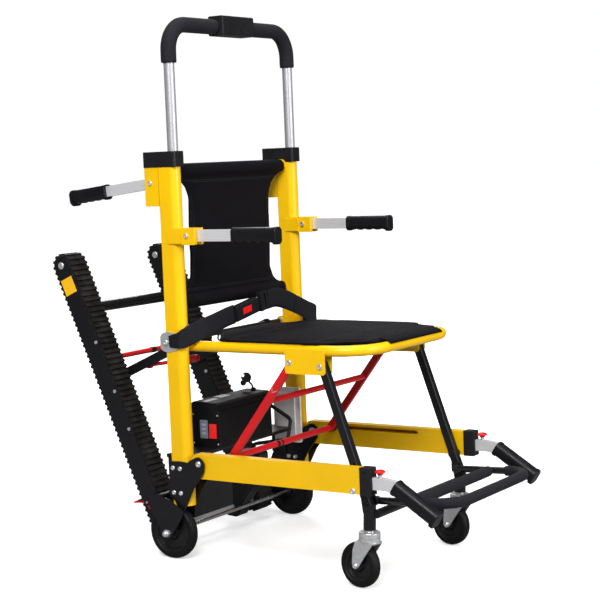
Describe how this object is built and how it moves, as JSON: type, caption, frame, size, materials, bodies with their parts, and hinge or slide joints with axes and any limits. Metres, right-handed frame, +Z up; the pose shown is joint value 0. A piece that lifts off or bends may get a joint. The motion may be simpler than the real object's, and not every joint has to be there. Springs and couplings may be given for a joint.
{
  "type": "stair chair",
  "caption": "Evacuation stair chair with yellow posts, fabric seat and back, lifting handles, two casters, two fixed wheels and powered rubber stair tracks behind.",
  "frame": {"origin": "on the floor, mid width, below the main posts", "axes": "+Z up, -Y towards the front of the chair, +X to the sitter's left"},
  "size_m": [0.561, 1.0924, 1.2367],
  "materials": {
    "yellow_paint": "satin",
    "black_paint": "satin",
    "red_paint": "gloss",
    "silver_metal": "satin",
    "zinc_steel": "brushed",
    "black_plastic": "matte",
    "red_plastic": "gloss",
    "grey_plastic": "matte",
    "black_rubber": "matte",
    "black_foam": "matte",
    "black_fabric": "matte",
    "grey_belt": "matte"
  },
  "bodies": {
    "root": {"main_posts": "yellow_paint", "handle_brackets": "yellow_paint", "post_caps": "black_plastic", "lower_brackets": "black_paint", "battery_tray": "black_paint", "frame_bolts": "zinc_steel", "back_sling": "black_fabric", "rear_wheel_forks": "black_paint", "rear_axle": "zinc_steel", "battery_case": "black_plastic", "battery_lid": "black_plastic", "drive_motor": "black_paint", "motor_cover": "black_plastic", "controller_box": "grey_plastic", "battery_leads": "black_rubber", "belt_anchors": "zinc_steel", "lap_belt_webbing": "grey_belt", "buckle_tongue": "zinc_steel", "buckle_housing": "black_plastic"},
    "buckle_button": {"buckle_button": "red_plastic"},
    "power_rocker": {"power_rocker": "red_plastic"},
    "push_handle": {"handle_tube": "silver_metal", "handle_foam": "black_foam", "control_box": "black_plastic"},
    "direction_rocker": {"direction_rocker": "black_plastic"},
    "run_button": {"run_button": "red_plastic"},
    "rear_handle_right": {"rear_handle_right": "silver_metal"},
    "rear_handle_left": {"rear_handle_left": "silver_metal"},
    "armrest_right": {"arm_bar_right": "silver_metal", "arm_grip_right": "black_rubber"},
    "armrest_left": {"arm_bar_left": "silver_metal", "arm_grip_left": "black_rubber"},
    "seat": {"seat_frame": "yellow_paint", "seat_bolts": "zinc_steel", "seat_sling": "black_fabric"},
    "rails": {"lower_rails": "yellow_paint", "rail_end_caps": "black_plastic"},
    "front_handle_right": {"front_handle_right": "silver_metal"},
    "front_handle_left": {"front_handle_left": "silver_metal"},
    "front_knob_right": {"front_knob_right": "red_plastic"},
    "front_knob_left": {"front_knob_left": "red_plastic"},
    "legs": {"leg_frame": "black_paint"},
    "footrest": {"footrest_frame": "black_paint", "footrest_foam": "black_foam"},
    "brace": {"fold_brace": "red_paint"},
    "caster_right": {"caster_fork_right": "zinc_steel"},
    "caster_left": {"caster_fork_left": "zinc_steel"},
    "caster_wheel_right": {"caster_wheel_right": "black_rubber"},
    "caster_wheel_left": {"caster_wheel_left": "black_rubber"},
    "rear_wheel_right": {"rear_wheel_right": "black_rubber"},
    "rear_wheel_left": {"rear_wheel_left": "black_rubber"},
    "brake_right": {"brake_pedal_right": "red_plastic"},
    "brake_left": {"brake_pedal_left": "red_plastic"},
    "tracks": {"track_beams": "black_plastic", "track_belts": "black_rubber", "track_cross_tubes": "black_paint"},
    "idlers": {"idler_pulleys": "black_plastic"},
    "sprockets": {"drive_sprockets": "zinc_steel"},
    "stays": {"track_stays": "black_paint"},
    "release_lever": {"release_lever": "red_paint"}
  },
  "joints": [
    {"name": "handle_height", "type": "slide", "parent": "root", "child": "push_handle", "axis": [0, 0.048, 0.9988], "range_m": [-0.19, 0]},
    {"name": "direction_rocker_tip", "type": "hinge", "parent": "push_handle", "child": "direction_rocker", "pos_m": [0, 0.07005, 1.22104], "axis": [1, 0, 0], "range_deg": [-6, 6]},
    {"name": "run_button_press", "type": "slide", "parent": "push_handle", "child": "run_button", "axis": [0, -0.9988, 0.048], "range_m": [0, 0.0018]},
    {"name": "rear_handle_right_fold", "type": "hinge", "parent": "root", "child": "rear_handle_right", "pos_m": [-0.235, 0.09616, 0.85637], "axis": [-1, 0, 0], "range_deg": [0, 83]},
    {"name": "rear_handle_left_fold", "type": "hinge", "parent": "root", "child": "rear_handle_left", "pos_m": [0.235, 0.09616, 0.85637], "axis": [-1, 0, 0], "range_deg": [0, 83]},
    {"name": "armrest_right_lift", "type": "hinge", "parent": "root", "child": "armrest_right", "pos_m": [-0.235, -0.00445, 0.74207], "axis": [-1, 0, 0], "range_deg": [0, 90]},
    {"name": "armrest_left_lift", "type": "hinge", "parent": "root", "child": "armrest_left", "pos_m": [0.235, -0.00445, 0.74207], "axis": [-1, 0, 0], "range_deg": [0, 90]},
    {"name": "seat_fold", "type": "hinge", "parent": "root", "child": "seat", "pos_m": [0, 0.04999, 0.50018], "axis": [-1, 0, 0], "range_deg": [0, 59], "deforming": ["lap_belt_webbing", "buckle_housing", "buckle_tongue", "buckle_button"]},
    {"name": "rail_fold", "type": "hinge", "parent": "root", "child": "rails", "pos_m": [0, -0.03609, 0.23], "axis": [-1, 0, 0], "range_deg": [0, 60]},
    {"name": "leg_fold", "type": "hinge", "parent": "seat", "child": "legs", "pos_m": [0, -0.33677, 0.47273], "axis": [-1, 0, 0], "range_deg": [-64, 0]},
    {"name": "brace_fold", "type": "hinge", "parent": "seat", "child": "brace", "pos_m": [0, -0.25755, 0.47542], "axis": [-1, 0, 0], "range_deg": [-26, 0]},
    {"name": "footrest_lift", "type": "hinge", "parent": "legs", "child": "footrest", "pos_m": [0, -0.45849, 0.19025], "axis": [-1, 0, 0], "range_deg": [0, 85]},
    {"name": "front_knob_right_pull", "type": "slide", "parent": "front_handle_right", "child": "front_knob_right", "axis": [0, 0.048, 0.9988], "range_m": [0, 0.005]},
    {"name": "front_knob_left_pull", "type": "slide", "parent": "front_handle_left", "child": "front_knob_left", "axis": [0, 0.048, 0.9988], "range_m": [0, 0.005]},
    {"name": "front_handle_right_slide", "type": "slide", "parent": "rails", "child": "front_handle_right", "axis": [0, -0.9988, 0.048], "range_m": [-0.003, 0.04]},
    {"name": "front_handle_left_slide", "type": "slide", "parent": "rails", "child": "front_handle_left", "axis": [0, -0.9988, 0.048], "range_m": [-0.003, 0.04]},
    {"name": "caster_swivel_right", "type": "hinge", "parent": "legs", "child": "caster_right", "pos_m": [-0.206, -0.455, 0.13], "axis": [0, 0, 1], "continuous": true},
    {"name": "caster_roll_right", "type": "hinge", "parent": "caster_right", "child": "caster_wheel_right", "pos_m": [-0.20166, -0.43038, 0.05], "axis": [0.9848, -0.1736, 0], "continuous": true},
    {"name": "rear_wheel_roll_right", "type": "hinge", "parent": "root", "child": "rear_wheel_right", "pos_m": [-0.241, 0.045, 0.0625], "axis": [1, 0, 0], "continuous": true},
    {"name": "brake_right_press", "type": "hinge", "parent": "root", "child": "brake_right", "pos_m": [-0.244, 0.107, 0.125], "axis": [-1, 0, 0], "range_deg": [0, 9]},
    {"name": "caster_swivel_left", "type": "hinge", "parent": "legs", "child": "caster_left", "pos_m": [0.206, -0.455, 0.13], "axis": [0, 0, 1], "continuous": true},
    {"name": "caster_roll_left", "type": "hinge", "parent": "caster_left", "child": "caster_wheel_left", "pos_m": [0.21034, -0.43038, 0.05], "axis": [0.9848, -0.1736, 0], "continuous": true},
    {"name": "rear_wheel_roll_left", "type": "hinge", "parent": "root", "child": "rear_wheel_left", "pos_m": [0.241, 0.045, 0.0625], "axis": [1, 0, 0], "continuous": true},
    {"name": "brake_left_press", "type": "hinge", "parent": "root", "child": "brake_left", "pos_m": [0.244, 0.107, 0.125], "axis": [-1, 0, 0], "range_deg": [0, 9]},
    {"name": "buckle_button_press", "type": "slide", "parent": "root", "child": "buckle_button", "axis": [0, 0.9988, -0.048], "range_m": [0, 0.003]},
    {"name": "power_rocker_tip", "type": "hinge", "parent": "root", "child": "power_rocker", "pos_m": [-0.107, 0.03104, 0.27282], "axis": [0, 0.9988, -0.048], "range_deg": [-4, 4]},
    {"name": "track_fold", "type": "hinge", "parent": "root", "child": "tracks", "pos_m": [0, 0.104, 0.046], "axis": [1, 0, 0], "range_deg": [0, 18]},
    {"name": "stay_swing", "type": "hinge", "parent": "root", "child": "stays", "pos_m": [0, 0.04999, 0.50018], "axis": [1, 0, 0], "range_deg": [-13, 0]},
    {"name": "release_lever_turn", "type": "hinge", "parent": "stays", "child": "release_lever", "pos_m": [-0.134, 0.20053, 0.4184], "axis": [-1, 0, 0], "range_deg": [0, 8]},
    {"name": "sprocket_turn", "type": "hinge", "parent": "tracks", "child": "sprockets", "pos_m": [0, 0.104, 0.046], "axis": [1, 0, 0], "continuous": true},
    {"name": "idler_turn", "type": "hinge", "parent": "tracks", "child": "idlers", "pos_m": [0, 0.403, 0.651], "axis": [1, 0, 0], "continuous": true}
  ],
  "couplings": [
    {"joint": "rail_fold", "follows": "seat_fold", "ratio": 0.965},
    {"joint": "leg_fold", "follows": "seat_fold", "ratio": -1.032},
    {"joint": "brace_fold", "follows": "seat_fold", "ratio": -0.407},
    {"joint": "stay_swing", "follows": "track_fold", "ratio": -0.667},
    {"joint": "idler_turn", "follows": "sprocket_turn", "ratio": 1}
  ]
}
